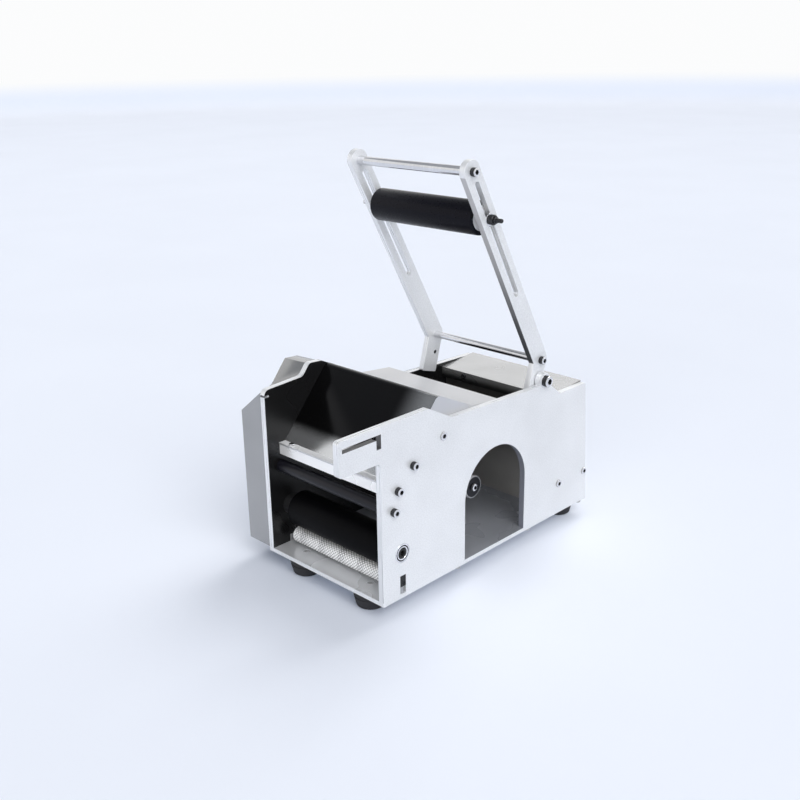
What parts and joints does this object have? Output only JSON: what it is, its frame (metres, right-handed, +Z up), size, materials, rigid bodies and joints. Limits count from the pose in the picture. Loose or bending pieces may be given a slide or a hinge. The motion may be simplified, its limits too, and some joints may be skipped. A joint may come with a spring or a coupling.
{
  "type": "bottle labelling machine",
  "caption": "Desk-top bottle labelling machine: side plates with an arch for the label roll, folded chute, feed rollers and a swinging arm with a press roller.",
  "frame": {"origin": "on the table under the middle of the machine's overall box", "axes": "+X from the drive cover to the plate with the arch, -Y to the front where the bottle lies, +Z up"},
  "size_m": [0.1938, 0.346, 0.3828],
  "materials": {
    "plate_aluminium": "fine bead-blasted, clear anodised",
    "black_plate": "satin black inside",
    "polished_sheet": "polished stainless sheet",
    "bright_steel": "bright plated",
    "screw_steel": "zinc plated",
    "dark_steel": "black oxide",
    "knurled_aluminium": "diamond knurl",
    "black_rubber": "ground rubber",
    "foot_rubber": "moulded rubber",
    "black_plastic": "turned black plastic",
    "bronze": "turned",
    "gear_brass": "milled"
  },
  "bodies": {
    "chassis": {"base_plate": "polished_sheet", "right_side_plate": "plate_aluminium", "left_side_plate": "black_plate", "drive_cover": "polished_sheet", "cover_posts": "plate_aluminium", "cover_screws": "screw_steel", "rubber_feet": "foot_rubber", "foot_screws": "screw_steel", "base_screws": "screw_steel", "label_chute": "polished_sheet", "peel_bar": "plate_aluminium", "peel_screws": "screw_steel", "chute_tie_rod": "plate_aluminium", "ridge_tie_rod": "plate_aluminium", "plate_bolts": "screw_steel", "wall_screws": "screw_steel", "inner_back_wall": "dark_steel", "rear_panel": "plate_aluminium", "rear_top_cover": "polished_sheet", "lid_screws": "screw_steel", "drive_bearings": "bright_steel", "pinch_blocks": "dark_steel", "pinch_set_screws": "screw_steel", "guide_axle": "bright_steel", "spindle_bush": "bronze"},
    "drive_roller": {"drive_shaft": "dark_steel", "drive_rubber": "black_rubber", "drive_gear": "gear_brass"},
    "pinch_roller": {"pinch_roller": "knurled_aluminium", "pinch_gear": "gear_brass"},
    "guide_roller": {"guide_roller": "black_plastic"},
    "label_spindle": {"spindle_shaft": "bright_steel", "spindle_core": "black_plastic", "spindle_disc": "bright_steel", "spindle_screw": "screw_steel", "spindle_collar": "screw_steel"},
    "press_arm": {"arm_left_plate": "plate_aluminium", "arm_right_plate": "plate_aluminium", "handle_bar": "bright_steel", "cross_bar": "bright_steel", "arm_bolts": "screw_steel", "pivot_bolts": "screw_steel", "pivot_washers": "bright_steel"},
    "press_carriage": {"press_axle": "bright_steel", "press_spacers": "bright_steel", "clamp_washers": "bright_steel"},
    "press_roller": {"press_core": "plate_aluminium", "press_rubber": "black_rubber", "press_bushes": "bronze"},
    "clamp_nut_right": {"clamp_nut_right": "screw_steel"},
    "clamp_nut_left": {"clamp_nut_left": "screw_steel"}
  },
  "joints": [
    {"name": "arm_swing", "type": "hinge", "parent": "chassis", "child": "press_arm", "pos_m": [0.0124, 0.0945, 0.1665], "axis": [1, 0, 0], "range_deg": [-35, 46]},
    {"name": "press_height", "type": "slide", "parent": "press_arm", "child": "press_carriage", "axis": [0, 0.481, -0.8767], "range_m": [-0.0288, 0.0827]},
    {"name": "press_roll", "type": "hinge", "parent": "press_carriage", "child": "press_roller", "pos_m": [0.0124, 0.01649, 0.33042], "axis": [1, 0, 0], "continuous": true},
    {"name": "clamp_right_turn", "type": "hinge", "parent": "press_carriage", "child": "clamp_nut_right", "pos_m": [0.0854, 0.01649, 0.33042], "axis": [1, 0, 0], "range_deg": [-180, 180]},
    {"name": "clamp_left_turn", "type": "hinge", "parent": "press_carriage", "child": "clamp_nut_left", "pos_m": [-0.0606, 0.01649, 0.33042], "axis": [1, 0, 0], "range_deg": [-180, 180]},
    {"name": "drive_turn", "type": "hinge", "parent": "chassis", "child": "drive_roller", "pos_m": [0.0124, -0.103, 0.0595], "axis": [1, 0, 0], "continuous": true},
    {"name": "pinch_turn", "type": "hinge", "parent": "chassis", "child": "pinch_roller", "pos_m": [0.0124, -0.103, 0.0305], "axis": [1, 0, 0], "continuous": true},
    {"name": "guide_turn", "type": "hinge", "parent": "chassis", "child": "guide_roller", "pos_m": [0.0124, -0.1135, 0.1025], "axis": [1, 0, 0], "continuous": true},
    {"name": "spindle_turn", "type": "hinge", "parent": "chassis", "child": "label_spindle", "pos_m": [-0.0026, 0.026, 0.069], "axis": [1, 0, 0], "continuous": true}
  ],
  "couplings": [
    {"joint": "pinch_turn", "follows": "drive_turn", "ratio": -2.125}
  ]
}
